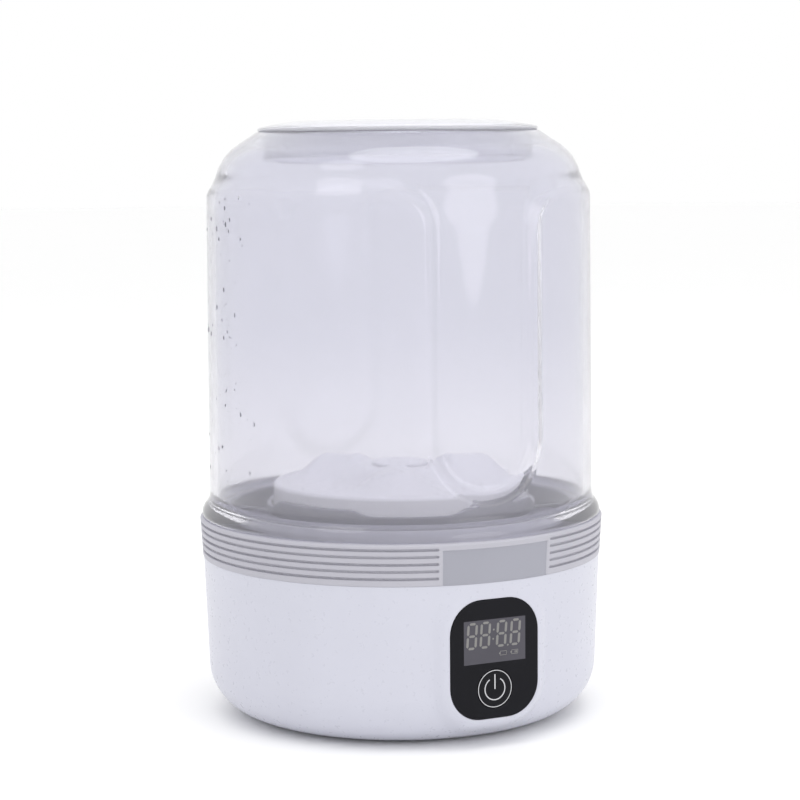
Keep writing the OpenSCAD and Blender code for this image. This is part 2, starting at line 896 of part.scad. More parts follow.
base_shell();
bottom_cover();
foot(1);  // foot_1
foot(2);  // foot_2
foot(3);  // foot_3
foot(4);  // foot_4
cover_screws();
grip_collar();
basin();
basin_screws();
guard_ring();
resonator_plate();
plate_gaskets();
piezo(-piezo_ring_r);  // piezo_front
piezo(piezo_ring_r);  // piezo_rear
shaft_seal();
shaft_bush();
motor_can();
motor_end_cap();
motor_bracket();
bracket_screws();
battery_cell();
battery_holder();
main_board();
board_screws();
controller_chip();
driver_transformer();
driver_capacitors();
driver_transistor();
board_connectors();
display_board();
display_screws();
display_module();
display_panel();
power_switch();
charging_port();
port_board();
port_hinge_pin();
battery_lead();
motor_lead();
piezo_leads();
display_ribbon();
vessel_gasket();
vessel();
vessel_lid();
lid_seal();
drive_shaft();
drive_coupling();
agitator_disc();
agitator_cap();
power_button();
port_flap();
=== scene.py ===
"""Looks for the small ultrasonic cleaner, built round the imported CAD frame. Lengths are in metres."""

import json
import math
import random

import bpy
from mathutils import Matrix, Vector


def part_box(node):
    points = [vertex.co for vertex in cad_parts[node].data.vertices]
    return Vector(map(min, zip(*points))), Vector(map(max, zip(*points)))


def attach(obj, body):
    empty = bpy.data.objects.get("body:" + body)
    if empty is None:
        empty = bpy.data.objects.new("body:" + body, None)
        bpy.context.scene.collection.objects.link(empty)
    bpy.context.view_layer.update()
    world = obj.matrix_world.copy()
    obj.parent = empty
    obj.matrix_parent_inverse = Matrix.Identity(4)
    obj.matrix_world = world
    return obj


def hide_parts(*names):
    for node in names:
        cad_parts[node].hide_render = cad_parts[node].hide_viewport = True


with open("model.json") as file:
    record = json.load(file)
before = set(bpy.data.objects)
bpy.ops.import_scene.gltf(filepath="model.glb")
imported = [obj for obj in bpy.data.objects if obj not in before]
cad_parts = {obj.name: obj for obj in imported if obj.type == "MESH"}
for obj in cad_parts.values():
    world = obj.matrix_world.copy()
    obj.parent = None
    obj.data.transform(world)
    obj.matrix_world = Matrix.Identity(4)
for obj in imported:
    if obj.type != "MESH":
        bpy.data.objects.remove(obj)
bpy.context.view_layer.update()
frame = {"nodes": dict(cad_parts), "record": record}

MM = 0.001
FRONT = math.radians(-90)


def low(node):
    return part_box(node)[0]


def high(node):
    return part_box(node)[1]


# ---------------------------------------------------------------- measures read from the frame

collar_r = high("grip_collar").x
collar_low, collar_top = low("basin_screws").z + 0.6 * MM, high("grip_collar").z
under_z = low("bottom_cover").z
panel_front = -low("display_panel").y
panel_centre_z = (low("display_panel").z + high("display_panel").z) / 2
panel_half_w = high("display_panel").x
panel_half_h = high("display_panel").z - panel_centre_z
panel_thick = high("display_panel").y - low("display_panel").y
window_z = (low("display_module").z + high("display_module").z) / 2
button_z = (low("power_button").z + high("power_button").z) / 2
vessel_low = low("vessel").z
lid_low, lid_top = low("vessel_lid").z, high("vessel_lid").z
lid_r = high("vessel_lid").x
disc_r, disc_low = high("agitator_disc").x, low("agitator_disc").z
guard_low, guard_top = low("guard_ring").z, high("guard_ring").z
flap_low, flap_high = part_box("port_flap")


# ---------------------------------------------------------------- small maths

def smooth(edge0, edge1, x):
    """0 below edge0, 1 above edge1, and a smooth S between."""
    t = min(max((x - edge0) / (edge1 - edge0), 0.0), 1.0)
    return t * t * (3 - 2 * t)


def arc(cx, cy, r, start, end, steps):
    """Points on an arc in the profile plane, angles in degrees."""
    angles = [math.radians(start + (end - start) * i / steps) for i in range(steps + 1)]
    return [(cx + r * math.cos(a), cy + r * math.sin(a)) for a in angles]


def spread(points, pitch):
    """The outline with extra points, so that no step is longer than pitch."""
    out = [points[0]]
    for a, b in zip(points, points[1:]):
        n = max(1, math.ceil(math.dist(a, b) / pitch))
        out += [tuple(p + (q - p) * i / n for p, q in zip(a, b)) for i in range(1, n + 1)]
    return out


def wrap(angle):
    """The angle brought to -pi..pi."""
    return (angle + math.pi) % (2 * math.pi) - math.pi


def box_distance(x, y, half_w, half_h, r):
    """Signed distance to a rounded rectangle, negative inside."""
    dx, dy = abs(x) - half_w + r, abs(y) - half_h + r
    outside = math.hypot(max(dx, 0.0), max(dy, 0.0))
    return outside + min(max(dx, dy), 0.0) - r


# ---------------------------------------------------------------- meshes

def new_object(name, verts, faces, smooth_angle=35):
    """A mesh object with smooth shading, kept sharp at corners above smooth_angle degrees."""
    me = bpy.data.meshes.new(name)
    me.from_pydata([tuple(v) for v in verts], [], faces)
    me.validate()
    me.update()
    me.shade_smooth()
    me.set_sharp_from_angle(angle=math.radians(smooth_angle))
    obj = bpy.data.objects.new(name, me)
    bpy.context.scene.collection.objects.link(obj)
    return obj


def turned(name, rows, angles, point=None, closed=True, smooth_angle=35):
    """A surface turned round Z. rows is a closed outline of (r, z); point may bend (r, z, angle)."""
    verts = []
    for r, z in rows:
        for a in angles:
            rr, zz = point(r, z, a) if point else (r, z)
            verts.append((rr * math.cos(a), rr * math.sin(a), zz))
    n, m = len(angles), len(rows)
    faces = []
    for j in range(m if closed else m - 1):
        k = (j + 1) % m
        for i in range(n):
            i2 = (i + 1) % n
            faces.append((j * n + i, j * n + i2, k * n + i2, k * n + i))
    return new_object(name, verts, faces, smooth_angle)


def grid_faces(rows, columns):
    """Faces of a grid that closes on itself both ways."""
    faces = []
    for j in range(rows):
        k = (j + 1) % rows
        faces += [(j * columns + i, j * columns + (i + 1) % columns,
                   k * columns + (i + 1) % columns, k * columns + i)
                  for i in range(columns)]
    return faces


def full_circle(count):
    return [2 * math.pi * i / count for i in range(count)]


def denser_front(coarse, fine, half_width):
    """Angles round the axis, closer together within half_width of the front."""
    out, a = [], -math.pi
    while a < math.pi - 1e-6:
        out.append(a)
        a += fine if abs(wrap(a - FRONT)) < half_width else coarse
    return out


def prism(name, outline, depth, place):
    """A closed plate: the outline in X and Z, its front at place, its depth running in along +Y."""
    x0, y0, z0 = place
    n = len(outline)
    verts = [(x0 + x, y0, z0 + z) for x, z in outline]
    verts += [(x0 + x, y0 + depth, z0 + z) for x, z in outline]
    faces = [list(range(n)), list(range(2 * n - 1, n - 1, -1))]
    faces += [(i, i + n, (i + 1) % n + n, (i + 1) % n) for i in range(n)]
    return new_object(name, verts, faces)


def rounded_outline(half_w, half_h, r, steps=10):
    out = []
    for sx, sz, start in ((1, 1, 0), (-1, 1, 90), (-1, -1, 180), (1, -1, 270)):
        out += arc(sx * (half_w - r), sz * (half_h - r), r, start, start + 90, steps)
    return out


def ring_outline(r, steps=48):
    return arc(0, 0, r, 0, 360 - 360 / steps, steps - 1)


def joined(name, objects):
    """One object made of several, in place."""
    bpy.ops.object.select_all(action="DESELECT")
    for o in objects:
        o.select_set(True)
    bpy.context.view_layer.objects.active = objects[0]
    bpy.ops.object.join()
    objects[0].name = name
    return objects[0]


def bevelled(obj, width, segments=2, angle=40):
    mod = obj.modifiers.new("bevel", "BEVEL")
    mod.width = width
    mod.segments = segments
    mod.limit_method = "ANGLE"
    mod.angle_limit = math.radians(angle)
    mod.harden_normals = True
    return obj


def cut(obj, cutters):
    """Takes the cutters out of obj and removes them."""
    for c in cutters:
        mod = obj.modifiers.new("cut", "BOOLEAN")
        mod.operation = "DIFFERENCE"
        mod.solver = "EXACT"
        mod.object = c
        bpy.context.view_layer.objects.active = obj
        bpy.ops.object.modifier_apply(modifier=mod.name)
        bpy.data.objects.remove(c)
    obj.data.shade_smooth()
    obj.data.set_sharp_from_angle(angle=math.radians(35))
    return obj


# ---------------------------------------------------------------- materials

class Nodes:
    """A material's node tree with a few short calls."""

    def __init__(self, name):
        self.mat = bpy.data.materials.new(name)
        self.mat.use_nodes = True
        self.tree = self.mat.node_tree
        self.shader = self.tree.nodes["Principled BSDF"]
        self.output = self.tree.nodes["Material Output"]

    def add(self, kind, **values):
        node = self.tree.nodes.new(kind)
        for key, value in values.items():
            if key in node.inputs:
                node.inputs[key].default_value = value
            else:
                setattr(node, key, value)
        return node

    def link(self, source, target):
        self.tree.links.new(source, target)

    def noise(self, scale, detail=3.0, rough=0.5, stretch=(1, 1, 1)):
        place = self.add("ShaderNodeTexCoord")
        mapping = self.add("ShaderNodeMapping")
        mapping.inputs["Scale"].default_value = stretch
        tex = self.add("ShaderNodeTexNoise", Scale=scale, Detail=detail, Roughness=rough)
        self.link(place.outputs["Object"], mapping.inputs["Vector"])
        self.link(mapping.outputs["Vector"], tex.inputs["Vector"])
        return tex.outputs["Fac"]

    def ramp(self, source, low_value, high_value, start=0.3, end=0.7):
        node = self.add("ShaderNodeMapRange")
        node.inputs["From Min"].default_value = start
        node.inputs["From Max"].default_value = end
        node.inputs["To Min"].default_value = low_value
        node.inputs["To Max"].default_value = high_value
        self.link(source, node.inputs["Value"])
        return node.outputs["Result"]

    def tint(self, source, colour_a, colour_b):
        node = self.add("ShaderNodeMix", data_type="RGBA")
        node.inputs["A"].default_value = (*colour_a, 1)
        node.inputs["B"].default_value = (*colour_b, 1)
        self.link(source, node.inputs["Factor"])
        return node.outputs["Result"]

    def painted_light_by_height(self, painted_light_low_colour, high_tone, low_z, high_z):
        """Painted light gradient: the low colour below low_z, running over to the tone above high_z."""
        place = self.add("ShaderNodeTexCoord")
        split = self.add("ShaderNodeSeparateXYZ")
        self.link(place.outputs["Object"], split.inputs["Vector"])
        node = self.add("ShaderNodeMix", data_type="RGBA")
        node.inputs["A"].default_value = (*painted_light_low_colour, 1)
        self.link(high_tone, node.inputs["B"])
        self.link(self.ramp(split.outputs["Z"], 0.0, 1.0, low_z, high_z), node.inputs["Factor"])
        return node.outputs["Result"]

    def bump(self, source, strength, distance):
        node = self.add("ShaderNodeBump", Strength=strength, Distance=distance)
        self.link(source, node.inputs["Height"])
        self.link(node.outputs["Normal"], self.shader.inputs["Normal"])


def scaled(colour, k):
    return tuple(min(c * k, 1.0) for c in colour)


def surface(name, colour, rough=(0.35, 0.45), vary=0.05, grain=900.0, relief=0.15,
            metal=0.0, shine=0.5, stretch=(1, 1, 1)):
    """Moulded or machined finish: a soft mottle of colour, uneven gloss and a fine grain."""
    n = Nodes(name)
    mottle = n.noise(55.0, 4.0)
    fine = n.noise(grain, 5.0, 0.6, stretch)
    tone = n.ramp(mottle, 0.0, 1.0)
    n.link(n.tint(tone, scaled(colour, 1 - vary), scaled(colour, 1 + vary)), n.shader.inputs["Base Color"])
    n.link(n.ramp(fine, rough[0], rough[1]), n.shader.inputs["Roughness"])
    n.bump(fine, relief, 0.00006)
    n.shader.inputs["Metallic"].default_value = metal
    n.shader.inputs["Specular IOR Level"].default_value = shine
    return n.mat


def clear_plastic(name, colour, rough=(0.04, 0.09), ior=1.49, milk=0.10, painted_light_low_colour=None):
    """Clear moulded plastic that lets lamps through to what it holds."""
    n = Nodes(name)
    haze = n.noise(40.0, 4.0)
    flow = n.noise(18.0, 2.0, 0.5, (1, 1, 0.25))
    tone = n.tint(n.ramp(haze, 0.0, 1.0), scaled(colour, 0.985), colour)
    # painted light: a lighter low colour makes the plastic brighter at the bottom and darker at the top
    if painted_light_low_colour:
        tone = n.painted_light_by_height(painted_light_low_colour, tone, 70 * MM, 115 * MM)
    n.link(tone, n.shader.inputs["Base Color"])
    n.link(n.ramp(haze, rough[0], rough[1]), n.shader.inputs["Roughness"])
    n.shader.inputs["Transmission Weight"].default_value = 1 - milk
    n.shader.inputs["IOR"].default_value = ior
    n.bump(flow, 0.12, 0.0004)
    path = n.add("ShaderNodeLightPath")
    through = n.add("ShaderNodeBsdfTransparent", Color=(*scaled(colour, 0.97), 1))
    mix = n.add("ShaderNodeMixShader")
    n.link(path.outputs["Is Shadow Ray"], mix.inputs[0])
    n.link(n.shader.outputs["BSDF"], mix.inputs[1])
    n.link(through.outputs["BSDF"], mix.inputs[2])
    n.link(mix.outputs["Shader"], n.output.inputs["Surface"])
    return n.mat


def circuit_board(name):
    """Green solder mask with a hint of copper tracks under it."""
    n = Nodes(name)
    place = n.add("ShaderNodeTexCoord")
    tracks = n.add("ShaderNodeTexBrick", Scale=90.0)
    tracks.inputs["Color1"].default_value = (0.010, 0.115, 0.050, 1)
    tracks.inputs["Color2"].default_value = (0.014, 0.135, 0.060, 1)
    tracks.inputs["Mortar"].default_value = (0.030, 0.210, 0.090, 1)
    tracks.inputs["Mortar Size"].default_value = 0.03
    n.link(place.outputs["Object"], tracks.inputs["Vector"])
    n.link(tracks.outputs["Color"], n.shader.inputs["Base Color"])
    n.link(n.ramp(n.noise(300.0), 0.3, 0.42), n.shader.inputs["Roughness"])
    n.bump(tracks.outputs["Fac"], 0.2, 0.00003)
    return n.mat


FINISH = {
    "shell_white": surface("shell_white", (0.56, 0.565, 0.64), (0.26, 0.34), 0.012, 700, 0.02),
    "cover_white": surface("cover_white", (0.58, 0.585, 0.65), (0.45, 0.60), 0.02, 1500, 0.4),
    "collar_grey": surface("collar_grey", (0.43, 0.425, 0.475), (0.42, 0.52), 0.02, 1200, 0.25),
    "basin_grey": surface("basin_grey", (0.20, 0.196, 0.25), (0.25, 0.38), 0.03, 900, 0.15),
    "agitator_white": surface("agitator_white", (0.76, 0.755, 0.78), (0.25, 0.35), 0.015, 800, 0.08),
    # vessel_clear is tinted lighter below 70 to 115 mm: painted light, brighter at the bottom, darker at the
    # top
    "vessel_clear": clear_plastic("vessel_clear", (0.845, 0.845, 0.905), painted_light_low_colour=(0.885, 0.88, 0.925)),
    "panel_black": surface("panel_black", (0.004, 0.004, 0.0065), (0.10, 0.16), 0.15, 500, 0.02, shine=0.15),
    "button_black": surface("button_black", (0.004, 0.004, 0.006), (0.12, 0.18), 0.15, 500, 0.03, shine=0.15),
    "foot_rubber": surface("foot_rubber", (0.10, 0.10, 0.11), (0.70, 0.85), 0.10, 1400, 0.6),
    "seal_rubber": surface("seal_rubber", (0.46, 0.455, 0.53), (0.50, 0.65), 0.04, 1200, 0.3),
    "seal_clear": clear_plastic("seal_clear", (0.93, 0.93, 0.96), (0.15, 0.25), 1.41),
    "flap_grey": surface("flap_grey", (0.46, 0.45, 0.49), (0.60, 0.75), 0.03, 1300, 0.4),
    "steel": surface("steel", (0.60, 0.60, 0.62), (0.22, 0.38), 0.05, 900, 0.2, 1.0, stretch=(1, 1, 0.05)),
    "screw_steel": surface("screw_steel", (0.52, 0.53, 0.55), (0.28, 0.40), 0.06, 1200, 0.2, 1.0),
    "brass": surface("brass", (0.66, 0.47, 0.17), (0.25, 0.38), 0.06, 900, 0.2, 1.0),
    "piezo": surface("piezo", (0.66, 0.62, 0.52), (0.35, 0.50), 0.05, 1500, 0.3),
    "black_plastic": surface("black_plastic", (0.02, 0.02, 0.022), (0.45, 0.60), 0.15, 1300, 0.4),
    "white_plastic": surface("white_plastic", (0.72, 0.72, 0.70), (0.40, 0.55), 0.03, 1300, 0.3),
    "pcb_green": circuit_board("pcb_green"),
    "chip_black": surface("chip_black", (0.015, 0.015, 0.016), (0.55, 0.70), 0.20, 1800, 0.5),
    "transformer": surface("transformer", (0.16, 0.13, 0.08), (0.50, 0.70), 0.15, 900, 0.4),
    "capacitor": surface("capacitor", (0.02, 0.024, 0.08), (0.25, 0.35), 0.10, 700, 0.1),
    "heatsink": surface("heatsink", (0.42, 0.43, 0.45), (0.35, 0.50), 0.05, 900, 0.2, 1.0),
    "cell_sleeve": surface("cell_sleeve", (0.03, 0.12, 0.32), (0.22, 0.32), 0.06, 700, 0.1),
    "display_grey": surface("display_grey", (0.10, 0.10, 0.11), (0.40, 0.55), 0.10, 1100, 0.2),
    "wire_red": surface("wire_red", (0.42, 0.02, 0.02), (0.35, 0.45), 0.08, 900, 0.1),
    "wire_white": surface("wire_white", (0.62, 0.62, 0.62), (0.35, 0.45), 0.05, 900, 0.1),
    "ribbon": surface("ribbon", (0.50, 0.38, 0.16), (0.35, 0.50), 0.08, 600, 0.2, stretch=(8, 0.2, 0.2)),
}
WINDOW = surface("display_window", (0.076, 0.073, 0.088), (0.16, 0.24), 0.06, 700, 0.04, shine=0.2)
SEGMENT = surface("display_segment", (0.20, 0.195, 0.19), (0.35, 0.50), 0.06, 900, 0.05)
MARK = surface("printed_mark", (0.56, 0.56, 0.58), (0.35, 0.50), 0.05, 900, 0.05)
# darker copy of the collar grey for the plain section: painted shade, since the grooved ridges only look
# lighter where their edges catch light
PLAIN_PAINTED_SHADE = surface("collar_plain_painted_shade", (0.315, 0.317, 0.365), (0.40, 0.50), 0.015, 1200, 0.2)
LID_CLEAR = clear_plastic("lid_clear", (0.925, 0.925, 0.96), (0.05, 0.10), 1.45, 0.25)
WATER = clear_plastic("water", (0.90, 0.90, 0.93), (0.0, 0.01), 1.33, 0.0)


def dress(obj, body, slot, *nodes, material=None):
    """Gives the piece its finish, its body and the CAD nodes that it stands for."""
    obj.data.materials.clear()
    obj.data.materials.append(material or FINISH[slot])
    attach(obj, body)
    if nodes:
        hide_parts(*nodes)
    return obj


def dress_cad_nodes():
    """Every CAD node gets the finish of its material slot."""
    for part in frame["record"]["subparts"]:
        obj = frame["nodes"][part["node"]]
        obj.data.materials.clear()
        obj.data.materials.append(FINISH[part["material_slot"]])


# ---------------------------------------------------------------- camera, lights, floor

def make_camera():
    """At the photograph's angle: 26 degrees to the panel's side, a little above the lid."""
    distance, height = 0.6695, 0.1673
    azimuth, pitch, roll = math.radians(-26.1), math.radians(6.38), math.radians(-0.5)
    cam = bpy.data.objects.new("camera", bpy.data.cameras.new("camera"))
    bpy.context.scene.collection.objects.link(cam)
    away = Vector((-math.sin(azimuth), math.cos(azimuth), 0))
    forward = away * math.cos(pitch) - Vector((0, 0, math.sin(pitch)))
    side = forward.cross(Vector((0, 0, 1))).normalized()
    up = side.cross(forward)
    right = side * math.cos(roll) + up * math.sin(roll)
    top = up * math.cos(roll) - side * math.sin(roll)
    turn = Matrix((right, top, -forward)).transposed().to_4x4()
    cam.matrix_world = Matrix.Translation(-away * distance + Vector((0, 0, height))) @ turn
    cam.data.sensor_width = 36
    cam.data.lens = 101.6
    cam.data.clip_start = 0.01
    bpy.context.scene.camera = cam


def area_light(name, place, aim, size, power, colour=(1, 1, 1)):
    data = bpy.data.lights.new(name, "AREA")
    data.shape = "ELLIPSE"
    data.size, data.size_y = size
    data.energy = power
    data.color = colour
    obj = bpy.data.objects.new(name, data)
    bpy.context.scene.collection.objects.link(obj)
    obj.location = place
    obj.rotation_mode = "QUATERNION"
    obj.rotation_quaternion = (Vector(aim) - Vector(place)).to_track_quat("-Z", "Y")


def make_studio():
    world = bpy.data.worlds.new("studio")
    bpy.context.scene.world = world
    world.use_nodes = True
    back = world.node_tree.nodes["Background"]
    back.inputs["Color"].default_value = (1.0, 1.0, 1.0, 1)
    back.inputs["Strength"].default_value = 1.0
    area_light("softbox_right", (0.28, -0.83, 0.32), (0, 0, 0.15), (0.56, 0.52), 0.85)
    area_light("softbox_top", (0.0, -0.20, 1.0), (0, 0, 0.16), (0.90, 0.68), 2.8)
    area_light("softbox_left", (-0.60, -0.21, 0.85), (0, 0, 0.16), (0.40, 0.34), 0.45)
    floor = turned("floor", [(0.0001, 0.0), (6.0, 0.0)], full_circle(48), closed=False)
    n = Nodes("floor_white")
    n.link(n.tint(n.noise(3.0), (0.985, 0.985, 0.985), (0.995, 0.995, 0.995)), n.shader.inputs["Base Color"])
    n.shader.inputs["Roughness"].default_value = 0.6
    floor.data.materials.append(n.mat)
    bpy.context.scene.view_settings.view_transform = "Standard"


# ---------------------------------------------------------------- base shell

SHELL_WALL = 2.5 * MM
PAD_HALF_W, PAD_HALF_H, PAD_CORNER = 16.4 * MM, 19.2 * MM, 11.5 * MM
PAD_SOFT = 3.0 * MM
PANEL_CORNER = 9.6 * MM


def shell_rows(inset):
    """Outline of the base from its underside up to the collar, moved inwards by inset."""
    fillet = 15 * MM
    low_r, top_r = collar_r - 2.1 * MM, collar_r - 0.9 * MM
    start = -90 if not inset else -57
    rows = arc(low_r - fillet, under_z + fillet, fillet - inset, start, 0, 22)
    return rows + [(top_r - inset, collar_low)]


def pad_amount(angle, z):
    """1 on the flat pad that carries the panel, 0 away from it, soft between."""
    away = wrap(angle - FRONT)
    if abs(away) > math.radians(40):
        return 0.0
    x = panel_front * math.tan(away)
    d = box_distance(x, z - panel_centre_z + 0.4 * MM, PAD_HALF_W, PAD_HALF_H, PAD_CORNER)
    return 1 - smooth(-PAD_SOFT, PAD_SOFT, d)


def shell_point(r, z, angle):
    """Pulls the outer skin out to the flat pad."""
    if r < collar_r - 4 * MM and z > under_z + 12 * MM:
        return r, z
    pad = pad_amount(angle, z)
    flat = (panel_front - 0.25 * MM) / math.cos(wrap(angle - FRONT)) if pad else 0
    return (r + (flat - r) * pad, z)


def base_shell():
    outer = spread(shell_rows(0), 0.9 * MM)
    inner = spread(shell_rows(SHELL_WALL), 4 * MM)
    ledge_top = under_z + 5.0 * MM
    rim_r = high("bottom_cover").x + 0.15 * MM
    count = len(outer)
    closing = [(36 * MM, ledge_top), (36 * MM, ledge_top - 2 * MM),
               (rim_r, ledge_top - 2 * MM), (rim_r, under_z)]
    angles = denser_front(math.radians(1.5), math.radians(0.6), math.radians(26))
    rows = outer + inner[::-1] + closing
    verts = []
    for j, (r, z) in enumerate(rows):
        for a in angles:
            rr, zz = shell_point(r, z, a) if j < count else (r, z)
            verts.append((rr * math.cos(a), rr * math.sin(a), zz))
    shell = new_object("base_housing", verts, grid_faces(len(rows), len(angles)))
    return dress(cut(shell, shell_cutters()), "base", "shell_white", "base_shell")


def shell_cutters():
    """Pocket for the panel, ways through for display and button, and the flap's pocket at the back."""
    play = 0.12 * MM
    front = -panel_front
    pocket = prism("pocket", rounded_outline(panel_half_w + play, panel_half_h + play, PANEL_CORNER + play),
                   panel_thick + 4 * MM, (0, front - 4 * MM, panel_centre_z))
    window = prism("window", rounded_outline(10.7 * MM, 6.6 * MM, 0.5 * MM), 12 * MM, (0, front, window_z))
    button = prism("button", ring_outline(6.3 * MM), 12 * MM, (0, front, button_z))
    flap_w = flap_high.x + 0.4 * MM
    flap_mid = (flap_low.z + flap_high.z) / 2
    flap_h = (flap_high.z - flap_low.z) / 2 + 0.4 * MM
    flap = prism("flap", rounded_outline(flap_w, flap_h, 0.6 * MM), 6 * MM, (0, 55.9 * MM, flap_mid))
    port = prism("port", rounded_outline(4.9 * MM, 1.9 * MM, 1.2 * MM), 12 * MM, (0, 50 * MM, 22 * MM))
    return [pocket, window, button, flap, port]


# ---------------------------------------------------------------- collar

GROOVES = 5
GROOVE_PITCH = 2.03 * MM
GROOVE_TOP = 1.65 * MM
GROOVE_HALF = 0.42 * MM
GROOVE_DEPTH = 0.75 * MM
PLAIN_CENTRE = FRONT + math.radians(1.2)
PLAIN_HALF = math.radians(17.35)
PLAIN_LIP = 2.0 * MM
PLAIN_SIDE = 1.0 * MM


def collar_outer_r(z):
    """Outer radius of the collar between its grooves."""
    return collar_r - 0.7 * MM * (collar_top - z) / (collar_top - collar_low)


def groove_depth(z):
    depth = 0.0
    for i in range(GROOVES):
        centre = collar_top - GROOVE_TOP - i * GROOVE_PITCH
        off = abs(z - centre)
        depth = max(depth, GROOVE_DEPTH * (1 - smooth(0.18 * MM, GROOVE_HALF, off)))
    return depth


def collar_rows():
    """Outline of the collar: its outer skin first, then the top, the ledge and the channel inside."""
    round_r = 1.0 * MM
    pitch = 0.14 * MM
    steps = round((collar_top - round_r - collar_low - 0.3 * MM) / pitch)
    z_values = [collar_low + 0.3 * MM + i * pitch for i in range(steps + 1)]
    skin = [(collar_outer_r(z), z) for z in z_values]
    top = arc(collar_r - round_r, collar_top - round_r, round_r, 12, 90, 7)
    ledge_r, channel_r, web_r = 56.3 * MM, 57.5 * MM, 54 * MM
    start = [(collar_r - 1.2 * MM, collar_low + 0.02 * MM), (skin[0][0] - 0.1 * MM, collar_low + 0.06 * MM)]
    inside = [(ledge_r, collar_top), (ledge_r, collar_top - 3.0 * MM), (channel_r, collar_top - 3.0 * MM),
              (channel_r, collar_low + 3.5 * MM), (web_r, collar_low + 3.5 * MM),
              (web_r, collar_low + 0.02 * MM)]
    return start, skin, top, inside


def collar_angles():
    """Angles round the collar, with extra ones at both ends of the plain section."""
    edge = 0.18 * MM / collar_r
    side = PLAIN_SIDE / collar_r
    ends = [PLAIN_CENTRE + s * (PLAIN_HALF + k * edge) for s in (-1, 1) for k in (-1, 0, 1)]
    ends += [PLAIN_CENTRE + s * (PLAIN_HALF - side + k * edge) for s in (-1, 1) for k in (-1, 1)]
    regular = denser_front(math.radians(1.25), math.radians(0.8), math.radians(26))
    clear = [a for a in regular if min(abs(wrap(a - e)) for e in ends) > 1.2 * edge]
    return sorted(wrap(a) for a in clear + ends)


def grip_collar():
    """Grey ring with grip grooves that stop at a plain section above the panel.

    The ledge inside is whole here; the CAD's grip_collar has four notches in it for the lugs.
    """
    start, skin, top, inside = collar_rows()
    rows = start + skin + top + inside
    first, last = len(start), len(start) + len(skin)
    angles = collar_angles()
    edge = 0.18 * MM / collar_r
    verts = []
    for j, (r, z) in enumerate(rows):
        for a in angles:
            off = abs(wrap(a - PLAIN_CENTRE)) - PLAIN_HALF
            rr = r
            if first <= j < last and off > -edge:
                rr = r - groove_depth(z) * smooth(-edge * 0.5, edge, off)
            elif first <= j < last:
                in_field = min(-off * collar_r - PLAIN_SIDE, collar_top - PLAIN_LIP - z)
                rr = r - 0.28 * MM * smooth(-0.18 * MM, 0.18 * MM, in_field)
            verts.append((rr * math.cos(a), rr * math.sin(a), z))
    collar = new_object("grip_ring", verts, grid_faces(len(rows), len(angles)), 50)
    dress(collar, "base", "collar_grey", "grip_collar")
    # the plain section's faces take the darker copy of the collar grey: painted shade
    collar.data.materials.append(PLAIN_PAINTED_SHADE)
    for face in collar.data.polygons:
        x, y, z = face.center
        off = abs(wrap(math.atan2(y, x) - PLAIN_CENTRE)) - PLAIN_HALF + PLAIN_SIDE / collar_r
        if off < 0 and z < collar_top - PLAIN_LIP and math.hypot(x, y) > collar_r - 1.2 * MM:
            face.material_index = 1
    return collar


# ---------------------------------------------------------------- clear vessel

VESSEL_R = 57 * MM
VESSEL_WALL = 2.4 * MM
FLUTE_DEPTH = 2.4 * MM
FLUTES = 2
FLUTE_HALF = 16.3 * MM
FLUTE_CENTRE_Z = 87.5 * MM
FLUTE_SOFT = 2.5 * MM
STEP_Z = 156.9 * MM
STEP_SOFT = 3.0 * MM
RAISED_CORNER = 12 * MM
DRAFT = 0.5 * MM
SHOULDER_X, SHOULDER_Z, SHOULDER_R = 39.2 * MM, 156 * MM, 14.8 * MM
SHOULDER_ANGLE = 57
WALL_LOW, WALL_HIGH = 66 * MM, 163 * MM


def raised_amount(angle, z):
    """1 on the cylinder wall, 0 in the flutes and above the wall's step, crisp at the wall's edge."""
    across = abs(wrap(FLUTES * (angle - FRONT)) / FLUTES) * VESSEL_R
    from_flute = math.hypot(across, min(z - FLUTE_CENTRE_Z, 0.0)) - FLUTE_HALF
    from_top = STEP_Z - z
    near_flute = max(RAISED_CORNER - from_flute, 0.0)
    near_top = max(RAISED_CORNER - from_top, 0.0)
    if near_flute and near_top:
        inside = RAISED_CORNER - math.hypot(near_flute, near_top)
    else:
        inside = min(from_flute, from_top)
    share = near_top / (near_top + near_flute) if near_top else 0.0
    soft = FLUTE_SOFT + (STEP_SOFT - FLUTE_SOFT) * share
    t = min(max((inside + soft) / (2 * soft), 0.0), 1.0)
    return 0.65 * (1 - math.cos(t * math.pi / 2)) + 0.35 * t * t * (3 - 2 * t)


def bulge(angle, z):
    """How far the wall stands out from the flute floor and the shoulder."""
    if not WALL_LOW <= z <= WALL_HIGH:
        return 0.0
    height = (z - WALL_LOW) / (SHOULDER_Z - WALL_LOW)
    full = VESSEL_R - DRAFT * height
    core = core_r(z, 0.0)
    return max(full - core, 0.0) * raised_amount(angle, z)


def core_r(z, inset):
    """Radius of the flute floor and of the shoulder, moved inwards by inset."""
    if z > SHOULDER_Z:
        return SHOULDER_X + math.sqrt(max((SHOULDER_R - inset) ** 2 - (z - SHOULDER_Z) ** 2, 0.0))
    side = SHOULDER_X + SHOULDER_R
    return side + (VESSEL_R - FLUTE_DEPTH - side) * (1 - smooth(146 * MM, SHOULDER_Z, z)) - inset


def wall_outline(inset, mouth_r):
    """Outline from just above the flange up over the shoulder to the mouth."""
    steps = 106
    rows = [WALL_LOW + (SHOULDER_Z - WALL_LOW) * i / steps for i in range(steps)]
    side = [(core_r(z, inset), z) for z in rows]
    shoulder = arc(SHOULDER_X, SHOULDER_Z, SHOULDER_R - inset, 0, SHOULDER_ANGLE, 20)
    end = shoulder[-1]
    rise = math.tan(math.radians(90 - SHOULDER_ANGLE))
    slope = spread([end, (mouth_r, end[1] + (end[0] - mouth_r) * rise)], 1.2 * MM)
    return side + shoulder + slope[1:]


